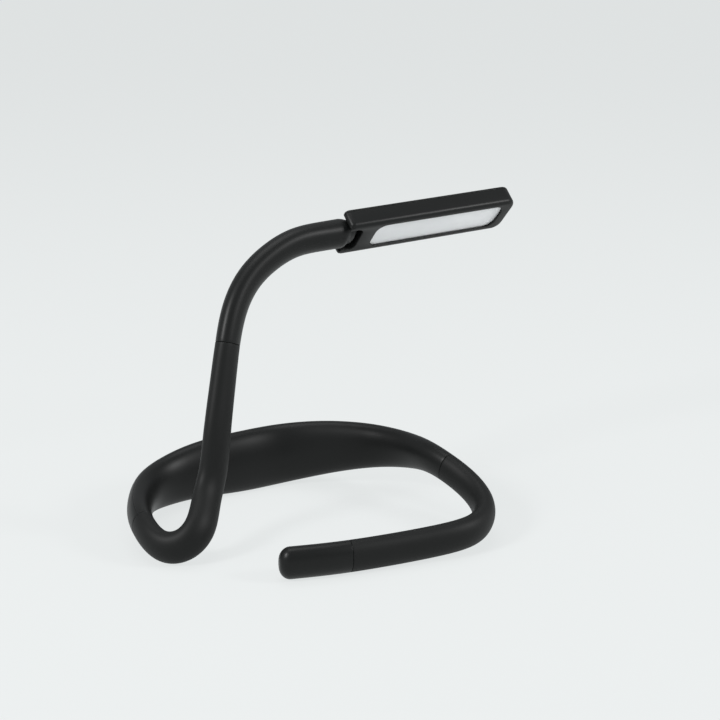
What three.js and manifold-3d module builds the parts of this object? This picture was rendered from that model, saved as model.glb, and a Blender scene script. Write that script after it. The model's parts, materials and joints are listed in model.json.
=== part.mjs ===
// Neck reading light. A rigid curved battery body carries two bendable necks. The right neck ends in a
// rubber tip, the left one carries a curved arm, and a thin lighting head tilts on a pin at the arm's end.
// Millimetres, +Z up, X along the lamp. The origin is on the table, under the middle of the lamp.
import * as THREE from 'three';
import { mergeVertices } from 'three/addons/utils/BufferGeometryUtils.js';
import Module from 'manifold-3d';

const wasm = await Module();
wasm.setup();

// Driving sizes: the box that the lamp's centre line runs in
const lampLength = 160;
const lampDepth = 120;
const lampHeight = 120;

// Section of the necks, the body, the arm and the tip
const neckHalfHeight = 6.9;
const neckHalfWidth = 4.75;
const bodySwell = 7.25;
const bodyBulge = 1.7;
const armEndHalfWidth = 6.85;
const armEndHalfThickness = 5.95;
const sleeveWall = 1.2;
const bodyWall = 1.6;
const armWall = 1.4;
const tipWall = 1.2;
const tipOverhang = 1.7;
const tipRoundLength = 4.4;
const tipRoundHeight = 5.3;
const tipRoundWidth = 3.6;

// Clearances
const seamGap = 0.15;
const fitGap = 0.3;
const pinClearance = 0.08;
const cutOverrun = 4;

// Bendable core: rods with a ball at one end and a cup at the other
const coreRadius = 3.1;
const ballRadius = 2.25;
const cupRadius = 2.75;
const cupRim = 0.6;
const poleRadius = 0.15;
const shoulderCut = 1.6;
const tangRadius = 1.6;
const anchorLength = 3.6;
const coreBendDegrees = 15;

// Body fittings
const cellLength = 28;
const cellHeight = 14;
const cellThickness = 5;
const cellCorner = 1.2;
const cellSetback = 1.1;
const boardLength = 22;
const boardHeight = 9;
const boardThickness = 1.2;
const socketWidth = 9;
const socketHeight = 4;
const socketWall = 0.6;
const socketDepth = 5.2;
const socketTongue = 0.9;
const flangeMargin = 1.2;
const flangeThickness = 0.8;
const lightPipeRadius = 1;
const lightPipeOffset = 8.6;
const proud = 0.25;

// Arm fittings
const coverHalfWidth = 3.6;
const coverEndInset = 2.5;
const knuckleRadius = 4.1;
const knuckleCorner = 3;
const knuckleBlend = 3.5;
const knuckleSolid = 9;
const buttonRadius = 1.7;
const buttonStand = 0.6;
const buttonCrown = 0.35;
const buttonFlange = 0.3;
const buttonFlangeThickness = 0.5;
const buttonTravel = 0.5;
const buttonPlaces = [6.5, 10.9];
const switchSize = 3.2;
const switchHeight = 1;
const armBoardLength = 9.2;
const armBoardWidth = 8.6;
const armBoardThickness = 0.8;

// Head
const headLength = 84.3;
const headHalfWidth = 10.65;
const headThickness = 8.8;
const headEdge = 0.9;
const headTipCorner = 5;
const headForkCorner = 1.6;
const headWall = 1.4;
const headLip = 0.8;
const backCoverThickness = 1.2;
const hingeInset = 2.6;
const windowStart = 12.4;
const windowLength = 65;
const windowHalfWidth = 7.5;
const windowCorner = 4.5;
const diffuserOverlap = 1;
const diffuserThickness = 1;
const guideThickness = 2;
const reflectorThickness = 0.4;
const ledBoardThickness = 0.8;
const ledSize = 1.6;
const ledDepth = 0.8;
const ledPitch = 5;
const pinRadius = 1;
const pinInset = 1;
const bushRadius = 2.3;

// Control points of the centre line from the tip's end to the head's hinge, as shares of the driving sizes
const routeShares = [
  [-0.184, -0.833, 0.058], [-0.064, -0.798, 0.059], [0.048, -0.738, 0.058], [0.164, -0.673, 0.06],
  [0.274, -0.617, 0.071], [0.316, -0.517, 0.073], [0.324, -0.418, 0.097], [0.284, -0.313, 0.139],
  [0.195, -0.214, 0.196], [0.145, -0.085, 0.177], [0.045, 0.02, 0.162], [-0.095, 0.051, 0.145],
  [-0.227, 0.055, 0.115], [-0.332, -0.035, 0.114], [-0.44, -0.109, 0.114], [-0.52, -0.186, 0.099],
  [-0.569, -0.292, 0.097], [-0.571, -0.417, 0.093], [-0.562, -0.523, 0.094], [-0.536, -0.624, 0.084],
  [-0.489, -0.703, 0.05], [-0.428, -0.718, 0.065], [-0.387, -0.686, 0.121], [-0.385, -0.58, 0.183],
  [-0.367, -0.53, 0.259], [-0.358, -0.532, 0.39], [-0.343, -0.475, 0.554], [-0.333, -0.445, 0.666],
  [-0.319, -0.395, 0.782], [-0.288, -0.336, 0.87], [-0.24, -0.276, 0.93], [-0.174, -0.207, 0.978],
  [-0.105, -0.1472, 0.9832], [-0.0365, -0.0932, 0.9877],
];

// Where one piece ends and the next begins, counted in control points along the centre line
const tipSeam = 1.35;
const bodyRightSeam = 7.6;
const bodyMiddle = 12.6;
const bodyLeftSeam = 18.7;
const twistStart = 20.5;
const armSeam = 27.1;
const armTwistDegrees = 40;
const headTwistDegrees = 54.5;

// Shares of the body's length and of its section
const bodySkewShare = -0.04;
const swellPower = 1.8;
const cellPlaceShares = [0.4, 0.62];
const boardPlaceShare = 0.2;
const backShellStart = 25;

// Counts
const rightLinks = 6;
const leftLinks = 7;
const samplesPerSpan = 16;
const sleeveSides = 12;
const coreSides = 8;
const sleeveStep = 4.5;
const coreStep = 4.5;
const bodyRings = 20;
const frontShellSteps = 12;
const backShellSteps = 8;
const armRings = 10;
const armSides = 16;
const blendSteps = 3;
const roundSides = 16;
const roundSteps = 3;
const ballSteps = 5;
const cornerSteps = 2;

const black = { color: 0x242628, metalness: 0 };
const finishes = {
  silicone: new THREE.MeshStandardMaterial({ ...black, roughness: 0.75 }),
  satin: new THREE.MeshStandardMaterial({ ...black, roughness: 0.42 }),
  core: new THREE.MeshStandardMaterial({ color: 0xb7babd, roughness: 0.4, metalness: 0.9 }),
  plastic: new THREE.MeshStandardMaterial({ color: 0x3a3d40, roughness: 0.6, metalness: 0 }),
  cell: new THREE.MeshStandardMaterial({ color: 0xc3c6ca, roughness: 0.35, metalness: 0.6 }),
  board: new THREE.MeshStandardMaterial({ color: 0x1f5a3a, roughness: 0.5, metalness: 0 }),
  steel: new THREE.MeshStandardMaterial({ color: 0xb9bdc1, roughness: 0.3, metalness: 1 }),
  diffuser: new THREE.MeshStandardMaterial({ color: 0xdadde0, roughness: 0.6, metalness: 0 }),
  clear: new THREE.MeshStandardMaterial({ color: 0xe8eef2, roughness: 0.15, metalness: 0 }),
};

const lamp = new THREE.Group();

function add(name, geometry, finish, parent = lamp) {
  const mesh = new THREE.Mesh(geometry, finishes[finish]);
  mesh.name = name;
  parent.add(mesh);
  return mesh;
}

// The centre line is a uniform cubic B-spline that starts and ends at its outer control points
class SmoothRoute extends THREE.Curve {
  constructor(points) {
    super();
    const beforeFirst = points[0].clone().multiplyScalar(2).sub(points[1]);
    const afterLast = points.at(-1).clone().multiplyScalar(2).sub(points.at(-2));
    this.control = [beforeFirst, ...points, afterLast];
    this.spans = points.length - 1;
  }

  getPoint(share, target = new THREE.Vector3()) {
    const span = Math.min(Math.floor(share * this.spans), this.spans - 1);
    const w = share * this.spans - span;
    const weights = [
      (1 - w) ** 3,
      3 * w ** 3 - 6 * w ** 2 + 4,
      -3 * w ** 3 + 3 * w ** 2 + 3 * w + 1,
      w ** 3,
    ];
    target.set(0, 0, 0);
    weights.forEach((weight, i) => target.addScaledVector(this.control[span + i], weight / 6));
    return target;
  }
}

const route = new SmoothRoute(
  routeShares.map(([x, y, z]) => new THREE.Vector3(x * lampLength, y * lampDepth, z * lampHeight)),
);

// Points along the centre line with their distance from its start
function sampleRoute() {
  const count = route.spans * samplesPerSpan;
  const samples = [];
  let distance = 0;
  for (let i = 0; i <= count; i++) {
    const point = route.getPoint(i / count);
    if (i > 0) distance += point.distanceTo(samples[i - 1].point);
    samples.push({ point, distance, tangent: route.getTangent(i / count) });
  }
  return samples;
}

const samples = sampleRoute();
const routeLength = samples.at(-1).distance;

function distanceAt(place) {
  return samples[Math.round(place * samplesPerSpan)].distance;
}

// Carries the upright direction along the centre line without turning it, out from the body's middle
function carryUpright() {
  const middle = Math.round(bodyMiddle * samplesPerSpan);
  const flatten = (vector, tangent) => {
    return vector.clone().addScaledVector(tangent, -vector.dot(tangent)).normalize();
  };
  samples[middle].upright = flatten(new THREE.Vector3(0, 0, 1), samples[middle].tangent);
  for (let i = middle + 1; i < samples.length; i++) {
    samples[i].upright = flatten(samples[i - 1].upright, samples[i].tangent);
  }
  for (let i = middle - 1; i >= 0; i--) {
    samples[i].upright = flatten(samples[i + 1].upright, samples[i].tangent);
  }
}

function twistDegrees(distance) {
  const start = distanceAt(twistStart);
  const seam = distanceAt(armSeam);
  if (distance <= start) return 0;
  if (distance <= seam) return armTwistDegrees * (distance - start) / (seam - start);
  const share = (distance - seam) / (routeLength - seam);
  return THREE.MathUtils.lerp(armTwistDegrees, headTwistDegrees, share);
}

carryUpright();
for (const sample of samples) {
  sample.upright.applyAxisAngle(sample.tangent, THREE.MathUtils.degToRad(twistDegrees(sample.distance)));
}

// The frame at a distance along the centre line: t runs along it, u up the section, b across it.
// Past either end the frame goes straight on.
function place(distance) {
  const inside = THREE.MathUtils.clamp(distance, 0, routeLength);
  let low = 0;
  let high = samples.length - 1;
  while (high - low > 1) {
    const middle = Math.floor((low + high) / 2);
    if (samples[middle].distance <= inside) low = middle;
    else high = middle;
  }
  const share = (inside - samples[low].distance) / (samples[high].distance - samples[low].distance);
  const t = samples[low].tangent.clone().lerp(samples[high].tangent, share).normalize();
  const u = samples[low].upright.clone().lerp(samples[high].upright, share);
  u.addScaledVector(t, -u.dot(t)).normalize();
  const p = samples[low].point.clone().lerp(samples[high].point, share);
  p.addScaledVector(t, distance - inside);
  return { p, t, u, b: t.clone().cross(u), distance };
}

function moved(frame, along, up = 0, across = 0) {
  const p = frame.p.clone().addScaledVector(frame.t, along).addScaledVector(frame.u, up);
  p.addScaledVector(frame.b, across);
  return { ...frame, p };
}

function reversed(frame) {
  return { ...frame, t: frame.t.clone().negate(), b: frame.b.clone().negate() };
}

// Turns a local geometry, x along, y up and z across, into the frame
function inFrame(geometry, frame) {
  const basis = new THREE.Matrix4().makeBasis(frame.t, frame.u, frame.b).setPosition(frame.p);
  return geometry.clone().applyMatrix4(basis);
}

// Outlines, counter-clockwise in the section: [up, across]
function oval(halfHeight, halfWidth, sides) {
  const points = [];
  for (let i = 0; i < sides; i++) {
    const angle = 2 * Math.PI * i / sides;
    points.push([halfHeight * Math.cos(angle), halfWidth * Math.sin(angle)]);
  }
  return points;
}

function circle(radius, sides) {
  return oval(radius, radius, sides);
}

// A curved wall: the outer oval from one angle to another and the inner one back
function wallOutline(halfHeight, halfWidth, wall, fromDegrees, toDegrees, steps) {
  const outer = [];
  const inner = [];
  for (let i = 0; i <= steps; i++) {
    const angle = THREE.MathUtils.degToRad(fromDegrees + (toDegrees - fromDegrees) * i / steps);
    outer.push([halfHeight * Math.cos(angle), halfWidth * Math.sin(angle)]);
    inner.unshift([(halfHeight - wall) * Math.cos(angle), (halfWidth - wall) * Math.sin(angle)]);
  }
  return [...outer, ...inner];
}

// Skins a run of rings, each a frame with an outline. A joined run is a tube with a bore.
function skin(rings, joined = false) {
  const sides = rings[0].outline.length;
  const positions = [];
  for (const { frame, outline } of rings) {
    for (const [up, across] of outline) positions.push(...moved(frame, 0, up, across).p.toArray());
  }
  const index = [];
  const rows = joined ? rings.length : rings.length - 1;
  for (let row = 0; row < rows; row++) {
    const here = row * sides;
    const next = ((row + 1) % rings.length) * sides;
    for (let side = 0; side < sides; side++) {
      const after = (side + 1) % sides;
      index.push(here + side, here + after, next + after, here + side, next + after, next + side);
    }
  }
  if (!joined) {
    const last = (rings.length - 1) * sides;
    for (const [a, b, c] of capFaces(rings[0].outline)) index.push(a, c, b);
    for (const [a, b, c] of capFaces(rings.at(-1).outline)) index.push(last + a, last + b, last + c);
  }
  const geometry = new THREE.BufferGeometry();
  geometry.setAttribute('position', new THREE.Float32BufferAttribute(positions, 3));
  geometry.setIndex(index);
  return geometry;
}

function capFaces(outline) {
  const points = outline.map(([up, across]) => new THREE.Vector2(up, across));
  const faces = THREE.ShapeUtils.triangulateShape(points, []);
  const [a, b, c] = faces[0].map((i) => points[i]);
  const turn = (b.x - a.x) * (c.y - a.y) - (b.y - a.y) * (c.x - a.x);
  return turn > 0 ? faces : faces.map(([i, j, k]) => [i, k, j]);
}

function tube(outerRings, innerRings) {
  return skin([...outerRings, ...innerRings.toReversed()], true);
}

// Cuts and joins
function toSolid(geometry) {
  const bare = geometry.clone();
  bare.deleteAttribute('normal');
  bare.deleteAttribute('uv');
  const merged = mergeVertices(bare);
  const source = merged.index.array;
  const faces = [];
  for (let i = 0; i < source.length; i += 3) {
    const [a, b, c] = [source[i], source[i + 1], source[i + 2]];
    if (a !== b && b !== c && c !== a) faces.push(a, b, c);
  }
  return new wasm.Manifold(new wasm.Mesh({
    numProp: 3,
    vertProperties: new Float32Array(merged.attributes.position.array),
    triVerts: new Uint32Array(faces),
  }));
}

function toGeometry(solid) {
  const mesh = solid.getMesh();
  const geometry = new THREE.BufferGeometry();
  geometry.setAttribute('position', new THREE.Float32BufferAttribute(mesh.vertProperties, 3));
  geometry.setIndex([...mesh.triVerts]);
  return geometry;
}

// Section sizes along the lamp
const tipEdge = distanceAt(tipSeam);
const rightEdge = distanceAt(bodyRightSeam);
const leftEdge = distanceAt(bodyLeftSeam);
const armEdge = distanceAt(armSeam);
const bodyLength = leftEdge - rightEdge;
const armLength = routeLength - armEdge;

function bodySize(distance) {
  const share = THREE.MathUtils.clamp((distance - rightEdge) / bodyLength, 0, 1);
  const skewed = share + bodySkewShare * share * (1 - share);
  const rise = Math.sin(Math.PI * skewed);
  return [neckHalfHeight + bodySwell * rise ** swellPower, neckHalfWidth + bodyBulge * rise];
}

function armSize(along) {
  const share = THREE.MathUtils.clamp(along / armLength, 0, 1);
  const full = THREE.MathUtils.lerp(neckHalfWidth, armEndHalfThickness, share);
  const halfWidth = THREE.MathUtils.lerp(neckHalfHeight, armEndHalfWidth, share);
  const past = along - armLength;
  if (past >= 0) {
    const intoCorner = Math.max(0, past - knuckleRadius + knuckleCorner) / knuckleCorner;
    const cornerLoss = knuckleCorner * (1 - Math.sqrt(1 - intoCorner ** 2));
    return [halfWidth - cornerLoss, Math.sqrt(knuckleRadius ** 2 - past ** 2)];
  }
  const blend = THREE.MathUtils.smoothstep(-past, 0, knuckleBlend);
  return [halfWidth, THREE.MathUtils.lerp(knuckleRadius, full, blend)];
}

// Necks: each is a chain of links. A link is a length of sleeve round a length of core, and it ends on
// a plane square to the centre line, cut back so that the next link can tilt.
function neckFrame(neck, along) {
  const frame = place(neck.start + neck.direction * along);
  return neck.direction > 0 ? frame : reversed(frame);
}

// Frames between two planes that keep their whole section clear of both
function framesBetween(neck, first, last, halfHeight, halfWidth, step) {
  const span = last.along - first.along;
  const count = Math.max(1, Math.round(span / step));
  const frames = [];
  for (let i = 1; i < count; i++) {
    const frame = neckFrame(neck, first.along + span * i / count);
    const corners = [[halfHeight, 0], [-halfHeight, 0], [0, halfWidth], [0, -halfWidth]];
    const clear = corners.every(([up, across]) => {
      const corner = moved(frame, 0, up, across).p;
      const afterFirst = corner.clone().sub(first.frame.p).dot(first.frame.t) > fitGap;
      const beforeLast = last.frame.p.clone().sub(corner).dot(last.frame.t) > fitGap;
      return afterFirst && beforeLast;
    });
    if (clear) frames.push(frame);
  }
  return frames;
}

function endPlane(neck, along, shift) {
  return { along, frame: moved(neckFrame(neck, along), shift) };
}

// How far a sleeve is cut back at a joint that bends about the given axis
function sleeveCut(neck, joint) {
  const reach = neck.axes[joint - 1] === 'u' ? neckHalfWidth : neckHalfHeight;
  return reach * Math.tan(THREE.MathUtils.degToRad(coreBendDegrees / 2)) + seamGap;
}

function neckSleeve(neck, link) {
  const linkLength = neck.length / neck.links;
  const from = link * linkLength;
  const to = from + linkLength;
  const startCut = link === 0 ? seamGap : sleeveCut(neck, link);
  const endCut = link === neck.links - 1 ? seamGap : sleeveCut(neck, link + 1);
  const first = endPlane(neck, from, startCut);
  const last = endPlane(neck, to, -endCut);
  const frames = [
    first.frame,
    ...framesBetween(neck, first, last, neckHalfHeight, neckHalfWidth, sleeveStep),
    last.frame,
  ];
  const outer = oval(neckHalfHeight, neckHalfWidth, sleeveSides);
  const inner = oval(neckHalfHeight - sleeveWall, neckHalfWidth - sleeveWall, sleeveSides);
  return tube(
    frames.map((frame) => ({ frame, outline: outer })),
    frames.map((frame) => ({ frame, outline: inner })),
  );
}

// Rings of a ball round the centre, from one angle up to its pole
function ballRings(centre, radius, fromAngle, steps) {
  const rings = [];
  for (let i = 0; i < steps; i++) {
    const angle = THREE.MathUtils.lerp(fromAngle, Math.PI / 2, i / steps);
    const outline = circle(radius * Math.cos(angle), coreSides);
    rings.push({ frame: moved(centre, radius * Math.sin(angle)), outline });
  }
  rings.push({ frame: moved(centre, radius), outline: circle(poleRadius, coreSides) });
  return rings;
}

// A core link is a rod from its cup to its ball. The first and the last end in a thin tang instead, which
// an anchor holds.
function neckCore(neck, link) {
  const linkLength = neck.length / neck.links;
  const isFirst = link === 0;
  const isLast = link === neck.links - 1;
  const from = link * linkLength;
  const to = from + linkLength;
  const rod = circle(coreRadius, coreSides);
  const tang = circle(tangRadius, coreSides);
  const first = endPlane(neck, from, isFirst ? fitGap : cupRim);
  const last = endPlane(neck, to, isLast ? -fitGap : -shoulderCut);
  const cupDepth = endPlane(neck, from, cupRadius + fitGap);
  const rodStart = isFirst ? first : { along: from + cupRadius, frame: cupDepth.frame };
  const startTang = [
    { frame: neckFrame(neck, -anchorLength), outline: tang },
    { frame: first.frame, outline: tang },
  ];
  const endTang = [
    { frame: last.frame, outline: tang },
    { frame: neckFrame(neck, neck.length + anchorLength), outline: tang },
  ];
  const cup = ballRings(neckFrame(neck, from), cupRadius, Math.asin(cupRim / cupRadius), roundSteps);
  const ball = ballRings(neckFrame(neck, to), ballRadius, -Math.asin(shoulderCut / ballRadius), ballSteps);
  return skin([
    ...(isFirst ? startTang : cup.toReversed()),
    { frame: first.frame, outline: rod },
    ...(isFirst ? [] : [{ frame: cupDepth.frame, outline: rod }]),
    ...framesBetween(neck, rodStart, last, coreRadius, coreRadius, coreStep)
      .map((frame) => ({ frame, outline: rod })),
    { frame: last.frame, outline: rod },
    ...(isLast ? endTang : ball),
  ]);
}

// A plug that holds a tang inside a shell
function anchor(neck, from, to, sizeAt) {
  const rings = [from, to].map((along) => {
    const [halfHeight, halfWidth] = sizeAt(along);
    return { frame: neckFrame(neck, along), outline: oval(halfHeight, halfWidth, sleeveSides) };
  });
  const bore = circle(tangRadius + fitGap, sleeveSides);
  return tube(rings, rings.map(({ frame }) => ({ frame, outline: bore })));
}

const rightNeck = {
  start: rightEdge,
  direction: -1,
  length: rightEdge - tipEdge,
  links: rightLinks,
  axes: ['u', 'b', 'u', 'b', 'u'],
};
const leftNeck = {
  start: leftEdge,
  direction: 1,
  length: armEdge - leftEdge,
  links: leftLinks,
  axes: ['u', 'b', 'u', 'b', 'u', 'b'],
};

function buildNeck(neck, side) {
  for (let link = 0; link < neck.links; link++) {
    add(`${side}_neck_sleeve_${link + 1}`, neckSleeve(neck, link), 'silicone');
    add(`${side}_neck_core_${link + 1}`, neckCore(neck, link), 'core');
  }
  const cavity = (along) => {
    const [halfHeight, halfWidth] = bodySize(neck.start + neck.direction * along);
    return [halfHeight - bodyWall - fitGap, halfWidth - bodyWall - fitGap];
  };
  const collar = anchor(neck, -anchorLength - fitGap, -fitGap, cavity);
  add(`body_${side}_collar`, collar, 'plastic');
}

buildNeck(rightNeck, 'right');
buildNeck(leftNeck, 'left');

// Rubber tip over the end of the right neck
function tipRings(wall, end) {
  const roundStart = end - tipRoundLength + wall;
  const rings = [{ along: rightNeck.length + seamGap, drawnIn: 0 }, { along: roundStart, drawnIn: 0 }];
  for (let i = 1; i <= roundSteps; i++) {
    const angle = Math.PI / 2 * i / roundSteps;
    rings.push({ along: roundStart + (end - roundStart) * Math.sin(angle), drawnIn: 1 - Math.cos(angle) });
  }
  return rings.map(({ along, drawnIn }) => ({
    frame: neckFrame(rightNeck, along),
    outline: oval(
      neckHalfHeight - wall - (tipRoundHeight - wall) * drawnIn,
      neckHalfWidth - wall - (tipRoundWidth - wall) * drawnIn,
      sleeveSides,
    ),
  }));
}

const tipEnd = rightNeck.length + tipEdge + tipOverhang;
const tipOuter = tipRings(0, tipEnd);
const tipInner = tipRings(tipWall, tipEnd - tipWall).toReversed();
add('tip_cap', skin([...tipInner, ...tipOuter]), 'satin');
const tipHold = anchor(rightNeck, rightNeck.length + fitGap, rightNeck.length + anchorLength + fitGap, () => [
  neckHalfHeight - tipWall - fitGap,
  neckHalfWidth - tipWall - fitGap,
]);
add('tip_anchor', tipHold, 'plastic');

// Battery body: a front shell that wraps over the edges and a back shell that closes it
function bodyShell(from, to, steps) {
  const rings = [];
  for (let i = 0; i <= bodyRings; i++) {
    const distance = rightEdge + seamGap + (bodyLength - 2 * seamGap) * i / bodyRings;
    const [halfHeight, halfWidth] = bodySize(distance);
    rings.push({
      frame: place(distance),
      outline: wallOutline(halfHeight, halfWidth, bodyWall, from, to, steps),
    });
  }
  return skin(rings);
}

const shellGapDegrees = THREE.MathUtils.radToDeg(fitGap / neckHalfWidth);
const frontShell = bodyShell(180 - backShellStart, 360 + backShellStart - shellGapDegrees, frontShellSteps);
const backShell = bodyShell(backShellStart, 180 - backShellStart - shellGapDegrees, backShellSteps);
add('body_front_shell', frontShell, 'satin');

// Charging board, its socket and its light, all square to the body where the board lies
const boardFrame = place(rightEdge + bodyLength * boardPlaceShare);
const boardTop = boardThickness / 2;
const [, boardHalfWidth] = bodySize(boardFrame.distance);
const socketFace = boardHalfWidth + proud;

function boxBetween(x, y, fromZ, toZ) {
  return new THREE.BoxGeometry(x, y, toZ - fromZ).translate(0, 0, (fromZ + toZ) / 2);
}

function rod(radius, fromZ, toZ) {
  const cylinder = new THREE.CylinderGeometry(radius, radius, toZ - fromZ, roundSides);
  return cylinder.rotateX(Math.PI / 2).translate(0, 0, (fromZ + toZ) / 2);
}

const flangeWidth = socketWidth + 2 * flangeMargin;
const flangeHeight = socketHeight + 2 * flangeMargin;
const socketMouth = boxBetween(
  socketWidth - 2 * socketWall,
  socketHeight - 2 * socketWall,
  socketFace - socketDepth + socketWall,
  socketFace + cutOverrun,
);
const tongueTop = socketFace - flangeThickness;
const tongueWidth = socketWidth - 4 * socketWall;
const socketTongueBox = boxBetween(tongueWidth, socketTongue, socketFace - socketDepth, tongueTop);
const socketBody = toSolid(boxBetween(socketWidth, socketHeight, socketFace - socketDepth, socketFace))
  .add(toSolid(boxBetween(flangeWidth, flangeHeight, socketFace - flangeThickness, socketFace)))
  .subtract(toSolid(socketMouth))
  .add(toSolid(socketTongueBox));
add('usb_socket', inFrame(toGeometry(socketBody), boardFrame), 'steel');

const boardBack = socketFace - socketDepth - fitGap;
const boardCentre = moved(boardFrame, 0, 0, boardBack - boardTop);
const boardBox = new THREE.BoxGeometry(boardLength, boardHeight, boardThickness);
add('charging_board', inFrame(boardBox, boardCentre), 'board');

// The light pipe stands on the board and ends level with the back shell
const pipeSurface = place(boardFrame.distance + lightPipeOffset);
const [, pipeHalfWidth] = bodySize(pipeSurface.distance);
const pipeDrop = pipeSurface.p.clone().sub(boardFrame.p).dot(boardFrame.b);
const pipeTop = pipeHalfWidth + pipeDrop + proud;
const pipeAlong = pipeSurface.p.clone().sub(boardFrame.p).dot(boardFrame.t);
const pipeFrame = moved(boardFrame, pipeAlong);
const lightPipe = rod(lightPipeRadius, boardBack + fitGap, pipeTop);
add('charge_light_pipe', inFrame(lightPipe, pipeFrame), 'clear');

const windowWidth = flangeWidth + 2 * fitGap;
const windowHeight = flangeHeight + 2 * fitGap;
const socketWindow = boxBetween(windowWidth, windowHeight, 0, socketFace + cutOverrun);
const pipeHole = rod(lightPipeRadius + fitGap, 0, pipeTop + cutOverrun);
const backShellCut = toSolid(backShell)
  .subtract(toSolid(inFrame(socketWindow, boardFrame)))
  .subtract(toSolid(inFrame(pipeHole, pipeFrame)));
add('body_back_shell', toGeometry(backShellCut), 'satin');

function roundedBlock(length, height, thickness, corner) {
  const block = new THREE.Shape();
  const x = thickness / 2;
  const y = height / 2;
  block.moveTo(-x + corner, -y);
  block.lineTo(x - corner, -y);
  block.absarc(x - corner, -y + corner, corner, -Math.PI / 2, 0, false);
  block.absarc(x - corner, y - corner, corner, 0, Math.PI / 2, false);
  block.absarc(-x + corner, y - corner, corner, Math.PI / 2, Math.PI, false);
  block.absarc(-x + corner, -y + corner, corner, Math.PI, 1.5 * Math.PI, false);
  const settings = { depth: length, bevelEnabled: false, curveSegments: cornerSteps };
  return new THREE.ExtrudeGeometry(block, settings).translate(0, 0, -length / 2).rotateY(Math.PI / 2);
}

['right', 'left'].forEach((side, i) => {
  const cellFrame = place(rightEdge + bodyLength * cellPlaceShares[i]);
  const block = roundedBlock(cellLength, cellHeight, cellThickness, cellCorner);
  add(`battery_cell_${side}`, inFrame(block, moved(cellFrame, 0, 0, -cellSetback)), 'cell');
});

// Arm: a shell open along the inside of its bend, closed by a narrow cover strip
function armFrame(along) {
  return place(armEdge + along);
}

function armRun(from, to, outlineAt, steps = armRings) {
  const rings = [];
  for (let i = 0; i <= steps; i++) {
    const along = from + (to - from) * i / steps;
    rings.push({ frame: armFrame(along), outline: outlineAt(along) });
  }
  return rings;
}

const armOuterOutline = (along) => oval(...armSize(along), armSides);

function armBlock() {
  const rings = armRun(seamGap, armLength - knuckleBlend, armOuterOutline);
  for (let i = 1; i < blendSteps; i++) {
    const along = armLength - knuckleBlend * (1 - i / blendSteps);
    rings.push({ frame: armFrame(along), outline: armOuterOutline(along) });
  }
  for (let i = 0; i < 2 * roundSteps; i++) {
    const angle = Math.PI / 2 * i / (2 * roundSteps);
    const along = armLength + knuckleRadius * Math.sin(angle);
    rings.push({ frame: armFrame(along), outline: armOuterOutline(along) });
  }
  return skin(rings);
}

function armCavity() {
  const rings = armRun(-cutOverrun, armLength - knuckleSolid, (along) => {
    const [halfWidth, halfThickness] = armSize(along);
    return oval(halfWidth - armWall, halfThickness - armWall, armSides);
  });
  return skin(rings);
}

function armSlot(side, floorShift, endShift) {
  const rings = armRun(-cutOverrun, armLength - coverEndInset - endShift, (along) => {
    const [halfWidth, halfThickness] = armSize(Math.min(along, armLength - knuckleBlend));
    const half = coverHalfWidth - side;
    const level = halfThickness * Math.sqrt(1 - (coverHalfWidth / halfWidth) ** 2);
    const floor = level - armWall + floorShift;
    const top = halfThickness + cutOverrun;
    return [[half, floor], [half, top], [-half, top], [-half, floor]];
  });
  return skin(rings);
}

const pinReach = headHalfWidth - pinInset;

function hingeRod(radius, halfLength) {
  return new THREE.CylinderGeometry(radius, radius, 2 * halfLength, roundSides);
}

const hingeFrame = place(routeLength);
const armSolid = toSolid(armBlock());
const armHollow = toSolid(armCavity());
const hingeBore = toSolid(inFrame(hingeRod(bushRadius + fitGap, headHalfWidth), hingeFrame));
const wideSlot = toSolid(armSlot(0, 0, 0));
const stripSlot = toSolid(armSlot(fitGap, fitGap, fitGap));

// Buttons sit on the outside of the arm's bend, low down, above switches on a small board
function buttonFrame(along) {
  const frame = armFrame(along);
  return { ...frame, u: frame.u.clone().negate(), b: frame.b.clone().negate() };
}

function turned(profile) {
  const points = profile.map(([radius, height]) => new THREE.Vector2(radius, height));
  return new THREE.LatheGeometry(points, roundSides).rotateX(Math.PI / 2);
}

// The button's flange lies under the shell, with its rim just clear of the curved wall
const flangeRadius = buttonRadius + buttonFlange;

function flangeLevel(along) {
  const [halfWidth, halfThickness] = armSize(along);
  const share = flangeRadius / (halfWidth - armWall);
  return (halfThickness - armWall) * Math.sqrt(1 - share ** 2) - fitGap;
}

let armShellSolid = armSolid.subtract(armHollow).subtract(wideSlot).subtract(hingeBore);
const switchNames = ['lower', 'upper'];
buttonPlaces.forEach((along, i) => {
  const frame = buttonFrame(along);
  const [, halfThickness] = armSize(along);
  const top = halfThickness + buttonStand;
  const flangeTop = flangeLevel(along);
  const flangeBottom = flangeTop - buttonFlangeThickness;
  const button = turned([
    [0, flangeBottom],
    [flangeRadius, flangeBottom],
    [flangeRadius, flangeTop],
    [buttonRadius, flangeTop],
    [buttonRadius, top - buttonCrown],
    [buttonRadius * Math.SQRT1_2, top - buttonCrown * (1 - Math.SQRT1_2)],
    [0, top],
  ]);
  add(`${switchNames[i]}_button`, inFrame(button, frame), 'satin');
  const switchTop = flangeBottom - buttonTravel - fitGap;
  const body = boxBetween(switchSize, switchSize, switchTop - switchHeight, switchTop);
  add(`${switchNames[i]}_switch`, inFrame(body, frame), 'plastic');
  const hole = rod(buttonRadius + fitGap, 0, top + cutOverrun);
  armShellSolid = armShellSolid.subtract(toSolid(inFrame(hole, frame)));
});
add('arm_shell', toGeometry(armShellSolid), 'satin');
add('arm_cover', toGeometry(armSolid.intersect(stripSlot).subtract(armHollow)), 'satin');

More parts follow.
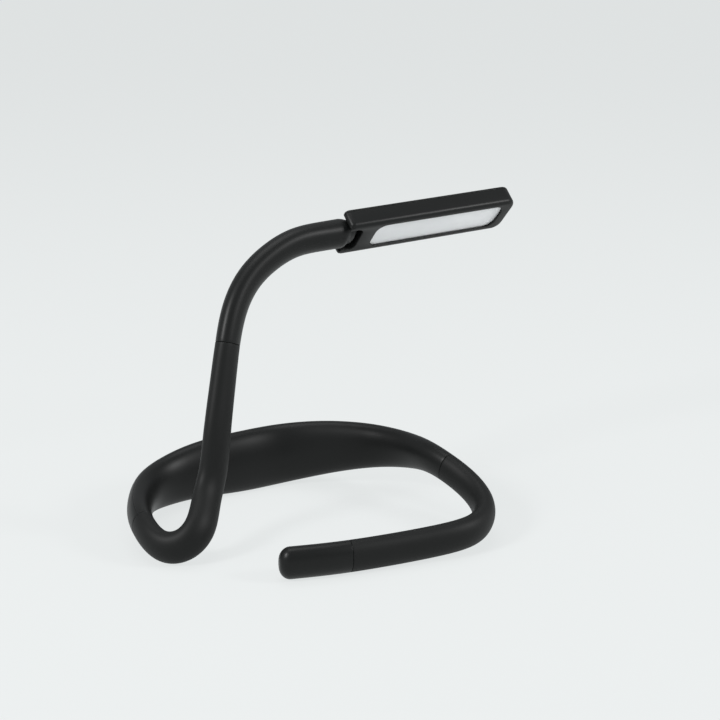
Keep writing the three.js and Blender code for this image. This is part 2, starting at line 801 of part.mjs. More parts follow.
// The switch board lies under both switches
const armBoardAt = (buttonPlaces[0] + buttonPlaces[1]) / 2;
const switchFoot = flangeLevel(armBoardAt) - buttonFlangeThickness - buttonTravel - fitGap - switchHeight;
const armBoardTop = switchFoot - 2 * fitGap;
const armBoard = boxBetween(armBoardLength, armBoardWidth, armBoardTop - armBoardThickness, armBoardTop);
add('button_board', inFrame(armBoard, buttonFrame(armBoardAt)), 'board');

const armHold = anchor(leftNeck, leftNeck.length + fitGap, leftNeck.length + anchorLength, (along) => {
  const [halfWidth, halfThickness] = armSize(along - leftNeck.length);
  return [halfWidth - armWall - fitGap, halfThickness - armWall - fitGap];
});
add('arm_anchor', armHold, 'plastic');

// Head: x from the hinge to the tip, y along the hinge pin, z out of the diffuser
const head = new THREE.Group();
const headBasis = new THREE.Matrix4().makeBasis(hingeFrame.t, hingeFrame.u, hingeFrame.b);
head.applyMatrix4(headBasis.setPosition(hingeFrame.p));
lamp.add(head);

function roundedPlate(fromX, toX, halfWidth, startCorner, endCorner) {
  const shape = new THREE.Shape();
  shape.moveTo(fromX + startCorner, -halfWidth);
  shape.lineTo(toX - endCorner, -halfWidth);
  shape.absarc(toX - endCorner, -halfWidth + endCorner, endCorner, -Math.PI / 2, 0, false);
  shape.absarc(toX - endCorner, halfWidth - endCorner, endCorner, 0, Math.PI / 2, false);
  shape.lineTo(fromX + startCorner, halfWidth);
  shape.absarc(fromX + startCorner, halfWidth - startCorner, startCorner, Math.PI / 2, Math.PI, false);
  shape.absarc(fromX + startCorner, -halfWidth + startCorner, startCorner, Math.PI, 1.5 * Math.PI, false);
  return shape;
}

function plate(shape, fromZ, toZ, edge = 0) {
  const geometry = new THREE.ExtrudeGeometry(shape, {
    depth: toZ - fromZ - 2 * edge,
    bevelEnabled: edge > 0,
    bevelSize: edge,
    bevelThickness: edge,
    bevelOffset: -edge,
    bevelSegments: cornerSteps,
    curveSegments: roundSteps,
  });
  return geometry.translate(0, 0, fromZ + edge);
}

const forkX = -hingeInset;
const tipX = headLength - hingeInset;
const frontZ = headThickness / 2;
const notchX = knuckleRadius + fitGap;
const notchHalfWidth = armEndHalfWidth + fitGap;
const notchCorner = knuckleCorner;
const cavityX = notchX + headWall;
const coverZ = backCoverThickness - frontZ;
const windowX = windowStart - hingeInset;
const windowEndX = windowX + windowLength;
const diffuserTop = frontZ - headLip - fitGap;
const guideTop = diffuserTop - diffuserThickness - fitGap;
const reflectorTop = guideTop - guideThickness - fitGap;
const ledBoardX = tipX - headWall - fitGap - ledBoardThickness;
const guideEndX = ledBoardX - ledDepth - fitGap;
const plateX = windowX - diffuserOverlap;
const plateHalfWidth = windowHalfWidth + diffuserOverlap;
const plateCorner = windowCorner + diffuserOverlap;

const headOutline = roundedPlate(forkX, tipX, headHalfWidth, headForkCorner, headTipCorner);
const headBlock = toSolid(plate(headOutline, -frontZ, frontZ, headEdge));
const notch = toSolid(plate(
  roundedPlate(forkX - 2 * cutOverrun, notchX, notchHalfWidth, notchCorner, notchCorner),
  -frontZ - cutOverrun,
  frontZ + cutOverrun,
));
const cavity = toSolid(plate(
  roundedPlate(cavityX, tipX - headWall, headHalfWidth - headWall, notchCorner, headTipCorner - headWall),
  -frontZ - cutOverrun,
  frontZ - headLip,
));
const windowOpening = toSolid(plate(
  roundedPlate(windowX, windowEndX, windowHalfWidth, windowCorner, windowCorner),
  0,
  frontZ + cutOverrun,
));
const slabReach = headLength + cutOverrun;
const slab = (fromZ, toZ) => toSolid(boxBetween(2 * slabReach, 4 * headHalfWidth, fromZ, toZ));
const pinHole = toSolid(hingeRod(pinRadius + pinClearance, pinReach + fitGap));

const headFrame = headBlock
  .intersect(slab(coverZ + fitGap, frontZ + cutOverrun))
  .subtract(notch)
  .subtract(cavity)
  .subtract(windowOpening)
  .subtract(pinHole);
add('head_frame', toGeometry(headFrame), 'satin', head);
const backCover = headBlock.intersect(slab(-frontZ - cutOverrun, coverZ)).subtract(notch);
add('head_back_cover', toGeometry(backCover), 'satin', head);

const plateEndX = windowEndX + diffuserOverlap;
const diffuserPlate = roundedPlate(plateX, plateEndX, plateHalfWidth, plateCorner, plateCorner);
add('diffuser', plate(diffuserPlate, diffuserTop - diffuserThickness, diffuserTop), 'diffuser', head);
const guidePlate = roundedPlate(plateX, guideEndX, plateHalfWidth, plateCorner, headForkCorner);
add('light_guide', plate(guidePlate, guideTop - guideThickness, guideTop), 'clear', head);
add('reflector_sheet', plate(guidePlate, reflectorTop - reflectorThickness, reflectorTop), 'diffuser', head);

const ledZ = guideTop - guideThickness / 2;
const ledBoardHeight = guideTop - reflectorTop + reflectorThickness;
const ledBoardWidth = 2 * (headHalfWidth - headTipCorner);
const ledStrip = new THREE.BoxGeometry(ledBoardThickness, ledBoardWidth, ledBoardHeight);
ledStrip.translate(ledBoardX + ledBoardThickness / 2, 0, guideTop - ledBoardHeight / 2);
let ledBoard = toSolid(ledStrip);
for (const step of [-1, 0, 1]) {
  const diode = new THREE.BoxGeometry(ledDepth + ledBoardThickness, ledSize, ledSize);
  diode.translate(ledBoardX - ledDepth / 2 + ledBoardThickness / 2, step * ledPitch / 2, ledZ);
  ledBoard = ledBoard.add(toSolid(diode));
}
add('led_board', toGeometry(ledBoard), 'board', head);
add('hinge_pin', hingeRod(pinRadius, pinReach), 'steel', head);

// The rubber bush in the arm's end grips the pin
const bushHalf = armEndHalfWidth - fitGap;
const bushBore = toSolid(hingeRod(pinRadius + pinClearance, headHalfWidth));
const bush = toSolid(hingeRod(bushRadius, bushHalf)).subtract(bushBore);
add('hinge_friction_bush', toGeometry(bush), 'silicone', head);

// Stands the lamp on the table with its origin under its middle
lamp.updateMatrixWorld(true);
const box = new THREE.Box3().setFromObject(lamp, true);
lamp.position.set(-(box.min.x + box.max.x) / 2, -(box.min.y + box.max.y) / 2, -box.min.z);
lamp.updateMatrixWorld(true);

export default lamp;
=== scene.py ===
# %% [markdown]
# # A neck reading light
# The lamp is worn round the neck. A rigid bow holds the battery, a bendable neck leaves each of its ends, and
# the left neck carries a curved arm with a slim light panel. Nearly everything follows one curved line in
# space, so the lesson builds that line first and then sweeps sections along it.

import json
import math

import bmesh
import bpy
from mathutils import Matrix, Vector
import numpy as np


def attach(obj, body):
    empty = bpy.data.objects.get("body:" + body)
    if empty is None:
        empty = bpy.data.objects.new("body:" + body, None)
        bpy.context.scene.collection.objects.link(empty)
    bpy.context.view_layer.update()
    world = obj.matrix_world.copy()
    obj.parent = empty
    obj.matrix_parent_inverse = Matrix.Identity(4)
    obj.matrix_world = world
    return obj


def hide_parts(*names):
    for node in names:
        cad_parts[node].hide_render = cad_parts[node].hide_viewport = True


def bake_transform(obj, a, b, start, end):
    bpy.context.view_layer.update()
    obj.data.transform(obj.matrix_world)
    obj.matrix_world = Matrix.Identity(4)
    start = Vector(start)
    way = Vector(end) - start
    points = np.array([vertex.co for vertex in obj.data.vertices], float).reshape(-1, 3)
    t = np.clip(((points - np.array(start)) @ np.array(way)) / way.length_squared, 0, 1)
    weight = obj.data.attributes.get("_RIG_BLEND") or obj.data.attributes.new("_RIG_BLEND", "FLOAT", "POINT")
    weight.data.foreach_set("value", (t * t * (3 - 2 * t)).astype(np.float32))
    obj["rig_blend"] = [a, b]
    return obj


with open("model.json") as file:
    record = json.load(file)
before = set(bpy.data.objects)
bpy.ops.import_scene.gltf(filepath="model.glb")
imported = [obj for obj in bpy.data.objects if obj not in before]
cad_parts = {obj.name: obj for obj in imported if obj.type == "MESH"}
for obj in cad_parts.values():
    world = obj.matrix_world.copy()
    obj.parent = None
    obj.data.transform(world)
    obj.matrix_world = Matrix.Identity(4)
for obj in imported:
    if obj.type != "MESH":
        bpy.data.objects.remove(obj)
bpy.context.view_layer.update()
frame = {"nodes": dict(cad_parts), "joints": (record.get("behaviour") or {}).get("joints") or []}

# %% [markdown]
# ## Sizes
# The solids that this scene dresses are made from a few sizes. The same sizes are repeated here in metres, so
# that each skin lies where its solid lies. A share is a part of one of the three driving sizes.

# %% Sizes
MM = 0.001
LAMP_LENGTH = 160 * MM
LAMP_DEPTH = 120 * MM
LAMP_HEIGHT = 120 * MM

NECK_HALF_HEIGHT = 6.9 * MM
NECK_HALF_WIDTH = 4.75 * MM
BODY_SWELL = 7.25 * MM
BODY_BULGE = 1.7 * MM
BODY_SKEW_SHARE = -0.04
SWELL_POWER = 1.8
ARM_END_HALF_WIDTH = 6.85 * MM
ARM_END_HALF_THICKNESS = 5.95 * MM
SLEEVE_WALL = 1.2 * MM
BODY_WALL = 1.6 * MM
ARM_WALL = 1.4 * MM
SEAM_GAP = 0.06 * MM
EDGE = 0.22 * MM

ROUTE_SHARES = (
    (-0.184, -0.833, 0.058), (-0.064, -0.798, 0.059), (0.048, -0.738, 0.058), (0.164, -0.673, 0.06),
    (0.274, -0.617, 0.071), (0.316, -0.517, 0.073), (0.324, -0.418, 0.097), (0.284, -0.313, 0.139),
    (0.195, -0.214, 0.196), (0.145, -0.085, 0.177), (0.045, 0.02, 0.162), (-0.095, 0.051, 0.145),
    (-0.227, 0.055, 0.115), (-0.332, -0.035, 0.114), (-0.44, -0.109, 0.114), (-0.52, -0.186, 0.099),
    (-0.569, -0.292, 0.097), (-0.571, -0.417, 0.093), (-0.562, -0.523, 0.094), (-0.536, -0.624, 0.084),
    (-0.489, -0.703, 0.05), (-0.428, -0.718, 0.065), (-0.387, -0.686, 0.121), (-0.385, -0.58, 0.183),
    (-0.367, -0.53, 0.259), (-0.358, -0.532, 0.39), (-0.343, -0.475, 0.554), (-0.333, -0.445, 0.666),
    (-0.319, -0.395, 0.782), (-0.288, -0.336, 0.87), (-0.24, -0.276, 0.93), (-0.174, -0.207, 0.978),
    (-0.105, -0.1472, 0.9832), (-0.0365, -0.0932, 0.9877),
)

# Where one piece ends and the next begins, counted in points of the route
TIP_SEAM = 1.35
BODY_RIGHT_SEAM = 7.6
BODY_MIDDLE = 12.6
BODY_LEFT_SEAM = 18.7
TWIST_START = 20.5
ARM_SEAM = 27.1
ARM_TWIST = math.radians(40)
HEAD_TWIST = math.radians(54.5)

# %% [markdown]
# ## The centre line
# A uniform cubic B-spline runs smoothly past its points, with no kink and no sudden change of bend, as a
# gooseneck does. A Blender curve could hold it, but the sections also need a direction that is up. It is
# carried along the line without turning it, out from the battery's middle, and then turned a little where the
# arm twists towards the panel.

# %% The centre line
SAMPLES_PER_SPAN = 60


def make_controls():
    inner = [Vector((x * LAMP_LENGTH, y * LAMP_DEPTH, z * LAMP_HEIGHT)) for x, y, z in ROUTE_SHARES]
    return [2 * inner[0] - inner[1], *inner, 2 * inner[-1] - inner[-2]]


def spline(controls, at):
    """The point and the direction of a cubic B-spline, where at counts its points."""
    span = min(int(at), len(controls) - 4)
    w = at - span
    weights = ((1 - w) ** 3, 3 * w ** 3 - 6 * w ** 2 + 4, -3 * w ** 3 + 3 * w ** 2 + 3 * w + 1, w ** 3)
    slopes = (-(1 - w) ** 2, 3 * w ** 2 - 4 * w, -3 * w ** 2 + 2 * w + 1, w ** 2)
    near = controls[span:span + 4]
    point = sum((c * k for c, k in zip(near, weights)), Vector()) / 6
    slope = sum((c * k for c, k in zip(near, slopes)), Vector())
    return point, slope.normalized()


controls = make_controls()
sample_count = (len(ROUTE_SHARES) - 1) * SAMPLES_PER_SPAN
points, tangents = zip(*(spline(controls, i / SAMPLES_PER_SPAN) for i in range(sample_count + 1)))
distances = [0.0]
for i in range(sample_count):
    distances.append(distances[-1] + (points[i + 1] - points[i]).length)


def distance_at(point_number):
    return distances[round(point_number * SAMPLES_PER_SPAN)]


route_end = distances[-1]
tip_seam = distance_at(TIP_SEAM)
right_seam = distance_at(BODY_RIGHT_SEAM)
left_seam = distance_at(BODY_LEFT_SEAM)
arm_seam = distance_at(ARM_SEAM)
twist_start = distance_at(TWIST_START)


def twist(distance):
    """How far the section has turned about the centre line."""
    if distance <= twist_start:
        return 0
    if distance <= arm_seam:
        return ARM_TWIST * (distance - twist_start) / (arm_seam - twist_start)
    return ARM_TWIST + (HEAD_TWIST - ARM_TWIST) * (distance - arm_seam) / (route_end - arm_seam)


def carry_upright():
    middle = round(BODY_MIDDLE * SAMPLES_PER_SPAN)
    ups = [None] * len(points)
    ups[middle] = Vector((0, 0, 1))
    for step, end in ((1, len(points)), (-1, -1)):
        up = ups[middle]
        for i in range(middle, end, step):
            up = (up - tangents[i] * up.dot(tangents[i])).normalized()
            ups[i] = up
    return [Matrix.Rotation(twist(d), 3, t) @ up for d, t, up in zip(distances, tangents, ups)]


uprights = carry_upright()

# The solids were centred on the table after they were made. The head's hinge says how far they moved.
hinges = {joint["name"]: joint for joint in frame["joints"]}
shift = Vector(hinges["head_tilt"]["pos_m"]) - points[-1]


def place(distance):
    """Point, direction along, direction up and direction across, at a distance along the centre line."""
    inside = min(max(distance, 0), route_end)
    low, high = 0, len(distances) - 1
    while high - low > 1:
        middle = (low + high) // 2
        if distances[middle] <= inside:
            low = middle
        else:
            high = middle
    share = (inside - distances[low]) / (distances[high] - distances[low])
    along = tangents[low].lerp(tangents[high], share).normalized()
    up = uprights[low].lerp(uprights[high], share)
    up = (up - along * up.dot(along)).normalized()
    point = points[low].lerp(points[high], share) + along * (distance - inside) + shift
    return point, along, up, along.cross(up)


print("centre line:", round(route_end / MM), "mm, moved by", [round(x / MM, 2) for x in shift])

# %% [markdown]
# ## Sweeping a section
# A section is a unit circle. A matrix stretches it to an oval and stands it square to the line. Extruding
# the circle's edges and moving the new ones to the next matrix makes a tube. Each new face remembers how far
# along the line it is and at what angle round the section, so that shells can be cut out of a tube by those
# two. A curve object with a bevel would be quicker to write, but it has no such memory.

# %% Sweeping a section
SECTION_SIDES = 72
SECTION_CORNER = math.radians(50)
SOFT_STEPS = 3


def frame_matrix(point, x, y, z):
    """The matrix that moves the origin to a point and the axes to x, y and z."""
    matrix = Matrix([axis.to_4d() for axis in (x, y, z, point)]).transposed()
    matrix[3][:] = (0, 0, 0, 1)
    return matrix


def ring(distance, half_height, half_width):
    """The matrix that turns a flat unit circle into the section at this distance."""
    point, along, up, across = place(distance)
    return frame_matrix(point, up * half_height, across * half_width, along)


def sweep(stations):
    """A tube through stations of distance, half height and half width."""
    bm = bmesh.new()
    far = bm.faces.layers.float.new("distance")
    round_it = bm.faces.layers.float.new("angle")
    rings = [ring(*station) for station in stations]
    bmesh.ops.create_circle(bm, cap_ends=False, radius=1, segments=SECTION_SIDES)
    bmesh.ops.transform(bm, matrix=rings[0], verts=bm.verts)
    edges = bm.edges[:]
    for i in range(len(rings) - 1):
        made = bmesh.ops.extrude_edge_only(bm, edges=edges)["geom"]
        verts = [part for part in made if isinstance(part, bmesh.types.BMVert)]
        edges = [part for part in made if isinstance(part, bmesh.types.BMEdge)]
        back = rings[i].inverted()
        bmesh.ops.transform(bm, matrix=rings[i + 1] @ back, verts=verts)
        for face in (part for part in made if isinstance(part, bmesh.types.BMFace)):
            local = back @ face.calc_center_median()
            face[far] = (stations[i][0] + stations[i + 1][0]) / 2
            face[round_it] = math.degrees(math.atan2(local.y, local.x)) % 360
    return bm


def steps(start, end, step):
    """Evenly spaced distances from start to end, both included."""
    count = max(1, round(abs(end - start) / step))
    return [start + (end - start) * i / count for i in range(count + 1)]


def keep_faces(bm, wanted):
    """Deletes the faces for which wanted(distance, angle) is false."""
    far = bm.faces.layers.float["distance"]
    round_it = bm.faces.layers.float["angle"]
    unwanted = [face for face in bm.faces if not wanted(face[far], face[round_it])]
    bmesh.ops.delete(bm, geom=unwanted, context="FACES")


def close_ends(bm):
    """Fills each open ring with a face."""
    bmesh.ops.holes_fill(bm, edges=[edge for edge in bm.edges if edge.is_boundary], sides=0)
    bmesh.ops.recalc_face_normals(bm, faces=bm.faces)


def thicken(bm, wall):
    """Turns a skin's faces away from the centre line and gives it a wall on its inner side."""
    bmesh.ops.recalc_face_normals(bm, faces=bm.faces)
    far = bm.faces.layers.float["distance"]
    # A face that closes an end was not swept, so its distance is zero and it has no say.
    outwards = sum(face.normal.dot(face.calc_center_median() - place(face[far])[0])
                   for face in bm.faces if face[far])
    if outwards < 0:
        bmesh.ops.reverse_faces(bm, faces=bm.faces)
    bmesh.ops.solidify(bm, geom=bm.faces[:] + bm.edges[:] + bm.verts[:], thickness=wall)
    bmesh.ops.recalc_face_normals(bm, faces=bm.faces)


def soften(bm, width):
    """Rounds every edge where two faces meet at a corner."""
    sharp = [edge for edge in bm.edges if edge.calc_face_angle(0) > SECTION_CORNER]
    bmesh.ops.bevel(bm, geom=sharp, offset=width, offset_type="OFFSET", affect="EDGES",
                    segments=SOFT_STEPS, profile=0.5, material=-1, clamp_overlap=True)


print("a section has", SECTION_SIDES, "sides")


# %% [markdown]
# ## Finishes
# Black plastic is never one flat colour. Its colour hardly changes, but its gloss does: a moulded surface has
# a fine grain, and handling polishes it in patches. Noise in Object coordinates gives both, at two scales.
# Each finish is written as sums on wires: the small class below turns a sum into Math nodes.

# %% Wires
class Wire:
    """A socket in a material's tree that can be added, multiplied and so on."""

    def __init__(self, tree, socket=None):
        self.tree = tree
        self.socket = socket

    def node(self, kind, sockets=None, out=0, stops=None, **settings):
        """Adds a node: its settings first, then the values or wires of its sockets."""
        node = self.tree.nodes.new(kind)
        for name, value in settings.items():
            setattr(node, name, value)
        if stops:
            ramp = node.color_ramp
            while len(ramp.elements) < len(stops):
                ramp.elements.new(0.5)
            for element, (position, shade) in zip(ramp.elements, stops):
                element.position = position
                element.color = (shade, shade, shade, 1)
        for name, value in (sockets or {}).items():
            if isinstance(value, Wire):
                self.tree.links.new(value.socket, node.inputs[name])
            else:
                node.inputs[name].default_value = value
        return Wire(self.tree, node.outputs[out])

    def maths(self, operation, first, second):
        return self.node("ShaderNodeMath", {0: first, 1: second}, operation=operation)

    def __add__(self, other):
        return self.maths("ADD", self, other)

    def __sub__(self, other):
        return self.maths("SUBTRACT", self, other)

    def __rsub__(self, other):
        return self.maths("SUBTRACT", other, self)

    def __mul__(self, other):
        return self.maths("MULTIPLY", self, other)

    __radd__ = __add__
    __rmul__ = __mul__


def new_material(name):
    """A material with its shader's node, and a wire to start from."""
    material = bpy.data.materials.new(name)
    material.use_nodes = True
    shader = material.node_tree.nodes["Principled BSDF"]
    return material, shader, Wire(material.node_tree)


def link(wire, shader, socket):
    wire.tree.links.new(wire.socket, shader.inputs[socket])


# %% Moulded and soft finishes
DARKER = 0.88
LIGHTER = 1.12
PATCHES_PER_METRE = 45
PATCH_SHARE = 0.05
GRAIN_STRENGTH = 0.35
REFLECTION = 0.22


def dark(colour):
    return (*(c * DARKER for c in colour), 1)


def light(colour):
    return (*(c * LIGHTER for c in colour), 1)


def moulded(name, colour, roughness, grain_size, grain_height):
    """A moulded surface: a fine grain, and patches that are a little more or less polished."""
    material, shader, start = new_material(name)
    spot = start.node("ShaderNodeTexCoord", out="Object")
    grain = start.node("ShaderNodeTexNoise", {"Vector": spot, "Scale": 1 / grain_size, "Detail": 3})
    patches = start.node("ShaderNodeTexNoise", {"Vector": spot, "Scale": PATCHES_PER_METRE, "Detail": 2})
    tone = start.node("ShaderNodeMix", {"Factor": patches, "A": dark(colour), "B": light(colour)},
                      out=2, data_type="RGBA")
    bump = start.node("ShaderNodeBump",
                      {"Height": grain, "Strength": GRAIN_STRENGTH, "Distance": grain_height})
    link(tone, shader, "Base Color")
    link(roughness + (patches - 0.5) * PATCH_SHARE, shader, "Roughness")
    link(bump, shader, "Normal")
    shader.inputs["Specular IOR Level"].default_value = REFLECTION
    return material


BLACK = (0.0052, 0.0058, 0.0056)
DARK_GREY = (0.05, 0.053, 0.058)
MILKY = (0.775, 0.79, 0.795)
satin = moulded("satin_black_plastic", BLACK, roughness=0.42, grain_size=0.12 * MM,
                grain_height=0.008 * MM)
silicone = moulded("black_silicone", BLACK, roughness=0.55, grain_size=0.2 * MM, grain_height=0.015 * MM)
tip_finish = moulded("tip_plastic", BLACK, roughness=0.38, grain_size=0.12 * MM, grain_height=0.006 * MM)
button_finish = moulded("button_plastic", BLACK, roughness=0.32, grain_size=0.1 * MM,
                        grain_height=0.004 * MM)
inner_plastic = moulded("inner_plastic", DARK_GREY, roughness=0.55, grain_size=0.2 * MM,
                        grain_height=0.02 * MM)
diffuser_finish = moulded("diffuser_plastic", MILKY, roughness=0.5, grain_size=0.3 * MM,
                          grain_height=0.003 * MM)
print("finishes:", len(bpy.data.materials))


# %% [markdown]
# ## Keeping a piece
# Each piece rides on one of the lamp's moving bodies, or bends between two of them, and stands for the plain
# solids that it dresses.

# %% Keeping a piece
SMOOTH_UNDER = 40


def to_object(bm, name, finish=None):
    """Turns a bmesh into an object of the scene."""
    mesh = bpy.data.meshes.new(name)
    bm.to_mesh(mesh)
    bm.free()
    if finish:
        mesh.materials.append(finish)
    obj = bpy.data.objects.new(name, mesh)
    bpy.context.scene.collection.objects.link(obj)
    return obj


def keep(bm, name, finish, replaced, body=None, smooth_under=SMOOTH_UNDER):
    """Turns a bmesh into a smooth shaded piece. A piece that rides on no body is blended afterwards."""
    piece = to_object(bm, name, finish)
    polygons = piece.data.polygons
    polygons.foreach_set("use_smooth", [True] * len(polygons))
    piece.data.set_sharp_from_angle(angle=math.radians(smooth_under))
    if body:
        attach(piece, body)
    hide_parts(*replaced)
    print(name, len(polygons), "faces")
    return piece


# %% [markdown]
# ## The necks
# Each neck is a gooseneck core in a matt silicone sleeve. On the solids, the neck is a chain of links. Here
# one skin goes over each of its hinges, from the middle of one link to the middle of the next, and blends
# between the two links, so that the sleeve bends in one smooth curve. The skins meet where nothing bends.

# %% The necks
NECK_STEP = 0.8 * MM
BORE_STEP = 4 * NECK_STEP
BLEND_REACH = 6.5 * MM
LIP_STEPS = 4


def lip(distance, end):
    """How far a surface draws in as it comes to the end of a piece."""
    away = abs(distance - end)
    return EDGE - math.sqrt(max(0, EDGE ** 2 - max(0, EDGE - away) ** 2))


def lip_steps(end, inwards):
    """Distances that follow the rounded lip at the end of a piece."""
    angles = [math.pi / 2 * i / LIP_STEPS for i in range(LIP_STEPS)]
    return [end + inwards * EDGE * (1 - math.cos(a)) for a in angles]


def neck_distances(start, end, lip_at_start, lip_at_end):
    inwards = 1 if end > start else -1
    first = lip_steps(start, inwards) if lip_at_start else []
    last = lip_steps(end, -inwards)[::-1] if lip_at_end else []
    inner_start = start + inwards * EDGE if lip_at_start else start
    inner_end = end - inwards * EDGE if lip_at_end else end
    return [*first, *steps(inner_start, inner_end, NECK_STEP), *last]


def sleeve(start, end, lip_at_start, lip_at_end):
    """A length of sleeve: the outer wall, then back along the bore, then joined end to end."""
    outer = []
    for distance in neck_distances(start, end, lip_at_start, lip_at_end):
        inset = lip(distance, start) if lip_at_start else 0
        inset += lip(distance, end) if lip_at_end else 0
        outer.append((distance, NECK_HALF_HEIGHT - inset, NECK_HALF_WIDTH - inset))
    bore = [(d, NECK_HALF_HEIGHT - SLEEVE_WALL, NECK_HALF_WIDTH - SLEEVE_WALL)
            for d in steps(end, start, BORE_STEP)]
    bm = sweep([*outer, *bore])
    bmesh.ops.bridge_loops(bm, edges=[edge for edge in bm.edges if edge.is_boundary])
    bmesh.ops.recalc_face_normals(bm, faces=bm.faces)
    return bm


def make_neck(side, start, end, links):
    inwards = 1 if end > start else -1
    link_length = (end - start) / links
    bodies = ["battery_body", *(f"{side}_neck_link_{i}" for i in range(2, links + 1))]
    for hinge in range(1, links):
        is_first = hinge == 1
        is_last = hinge == links - 1
        near = start + inwards * SEAM_GAP if is_first else start + link_length * (hinge - 0.5)
        far = end - inwards * SEAM_GAP if is_last else start + link_length * (hinge + 0.5)
        replaced = [f"{side}_neck_sleeve_{hinge}"]
        if is_last:
            replaced.append(f"{side}_neck_sleeve_{links}")
        skin = keep(sleeve(near, far, is_first, is_last), f"{side}_neck_skin_{hinge}", silicone,
                    replaced)
        at = start + link_length * hinge
        from_point = place(at - inwards * BLEND_REACH)[0]
        to_point = place(at + inwards * BLEND_REACH)[0]
        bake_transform(skin, bodies[hinge - 1], bodies[hinge], start=tuple(from_point), end=tuple(to_point))


RIGHT_LINKS = 6
LEFT_LINKS = 7
make_neck("right", right_seam, tip_seam, RIGHT_LINKS)
make_neck("left", left_seam, arm_seam, LEFT_LINKS)

# %% [markdown]
# ## The tip
# A plain cap closes the right neck. Its end is flattened and its edge well rounded.

# %% The tip
TIP_OVERHANG = 1.7 * MM
TIP_ROUND_LENGTH = 4.4 * MM
TIP_ROUND_HEIGHT = 5.3 * MM
TIP_ROUND_WIDTH = 3.6 * MM
TIP_WALL = 1.2 * MM
TIP_STEP = 2 * MM
ROUND_STEPS = 12


def tip_stations(wall, end):
    """From the seam to the end of the cap, drawn in by a wall."""
    seam = tip_seam - SEAM_GAP
    length = TIP_ROUND_LENGTH - wall
    stations = [(d, lip(d, seam) if not wall else 0, 0) for d in [*lip_steps(seam, -1), seam - EDGE]]
    stations += [(d, 0, 0) for d in steps(seam - 2 * EDGE, end + length, TIP_STEP)]
    for i in range(1, ROUND_STEPS + 1):
        angle = math.pi / 2 * i / ROUND_STEPS
        stations.append((end + length * (1 - math.sin(angle)), 0, 1 - math.cos(angle)))
    return [(d, NECK_HALF_HEIGHT - wall - inset - (TIP_ROUND_HEIGHT - wall) * drawn_in,
             NECK_HALF_WIDTH - wall - inset - (TIP_ROUND_WIDTH - wall) * drawn_in)
            for d, inset, drawn_in in stations]


outer = tip_stations(0, -TIP_OVERHANG)
inner = tip_stations(TIP_WALL, -TIP_OVERHANG + TIP_WALL)
tip = sweep([*inner[::-1], *outer])
close_ends(tip)
keep(tip, "tip_cap_skin", tip_finish, ["tip_cap"], f"right_neck_link_{RIGHT_LINKS}")

# %% [markdown]
# ## The battery body
# The body is two moulded shells: the front one wraps over both edges, the back one closes it. Both are cut
# out of one swept tube, get a wall, and have their edges rounded, which leaves a fine groove where they meet.

# %% The battery body
BODY_STEP = 1.2 * MM
BACK_SHELL_START = 25
body_length = left_seam - right_seam


def body_size(distance):
    share = min(max((distance - right_seam) / body_length, 0), 1)
    skewed = share + BODY_SKEW_SHARE * share * (1 - share)
    rise = math.sin(math.pi * skewed)
    return NECK_HALF_HEIGHT + BODY_SWELL * rise ** SWELL_POWER, NECK_HALF_WIDTH + BODY_BULGE * rise


def body_tube():
    distances_along = steps(right_seam + SEAM_GAP, left_seam - SEAM_GAP, BODY_STEP)
    return sweep([(d, *body_size(d)) for d in distances_along])


def is_back(angle):
    return BACK_SHELL_START < angle < 180 - BACK_SHELL_START


def body_shell(wanted):
    bm = body_tube()
    keep_faces(bm, lambda distance, angle: wanted(angle))
    thicken(bm, BODY_WALL)
    soften(bm, EDGE)
    return bm


keep(body_shell(lambda angle: not is_back(angle)), "body_front_skin", satin,
     ["body_front_shell"], "battery_body")
keep(body_shell(is_back), "body_back_skin", satin, ["body_back_shell"], "battery_body")

# %% [markdown]
# ## Cutting
# Holes with a sharp or a rounded rim come from closed cutters and a Boolean modifier. The modifier is applied
# straight away, because its result still gets its rims rounded.

# %% Cutting
MERGE_DISTANCE = 0.002 * MM
ROUND_SIDES = 48


def cut(bm, *cutters):
    """Takes closed meshes away from a closed mesh."""
    target = to_object(bm, "work")
    tools = [to_object(cutter, "work") for cutter in cutters]
    for tool in tools:
        modifier = target.modifiers.new("cut", "BOOLEAN")
        modifier.operation = "DIFFERENCE"
        modifier.solver = "EXACT"
        modifier.use_self = True
        modifier.object = tool
    result = bmesh.new()
    result.from_object(target, bpy.context.evaluated_depsgraph_get())
    for obj in (target, *tools):
        mesh = obj.data
        bpy.data.objects.remove(obj)
        bpy.data.meshes.remove(mesh)
    bmesh.ops.remove_doubles(result, verts=result.verts, dist=MERGE_DISTANCE)
    return result


def rod(radius, low, high, matrix):
    """A closed cylinder along z between two heights, then moved."""
    bm = bmesh.new()
    bmesh.ops.create_cone(bm, cap_ends=True, segments=ROUND_SIDES, radius1=radius, radius2=radius,
                          depth=high - low)
    bmesh.ops.translate(bm, vec=(0, 0, (low + high) / 2), verts=bm.verts)
    bmesh.ops.transform(bm, matrix=matrix, verts=bm.verts)
    return bm


# %% [markdown]
# ## The arm
# The arm is a shell that is open along the inside of its bend, where a narrow strip closes it. Its upper end
# is a rounded knuckle that turns between the head's two cheeks. Shell and strip come from one swept tube, as
# the body's shells do, so they meet in a fine line. The hinge's bore and the holes for the buttons are cut.

# %% Arm sizes
KNUCKLE_RADIUS = 4.1 * MM
KNUCKLE_CORNER = 3 * MM
KNUCKLE_BLEND = 3.5 * MM
KNUCKLE_STEPS = 9
KNUCKLE_SWEEP = math.radians(87)
ARM_STEP = 1.1 * MM
ARM_END_STEP = 0.35 * MM
COVER_END_INSET = 2.5 * MM
COVER_EDGE_ANGLE = 60
COVER_EDGE = 0.1 * MM
BORE_RADIUS = 2.4 * MM
BORE_REACH = 12 * MM
arm_length = route_end - arm_seam


def smooth_share(share):
    share = min(max(share, 0), 1)
    return share * share * (3 - 2 * share)


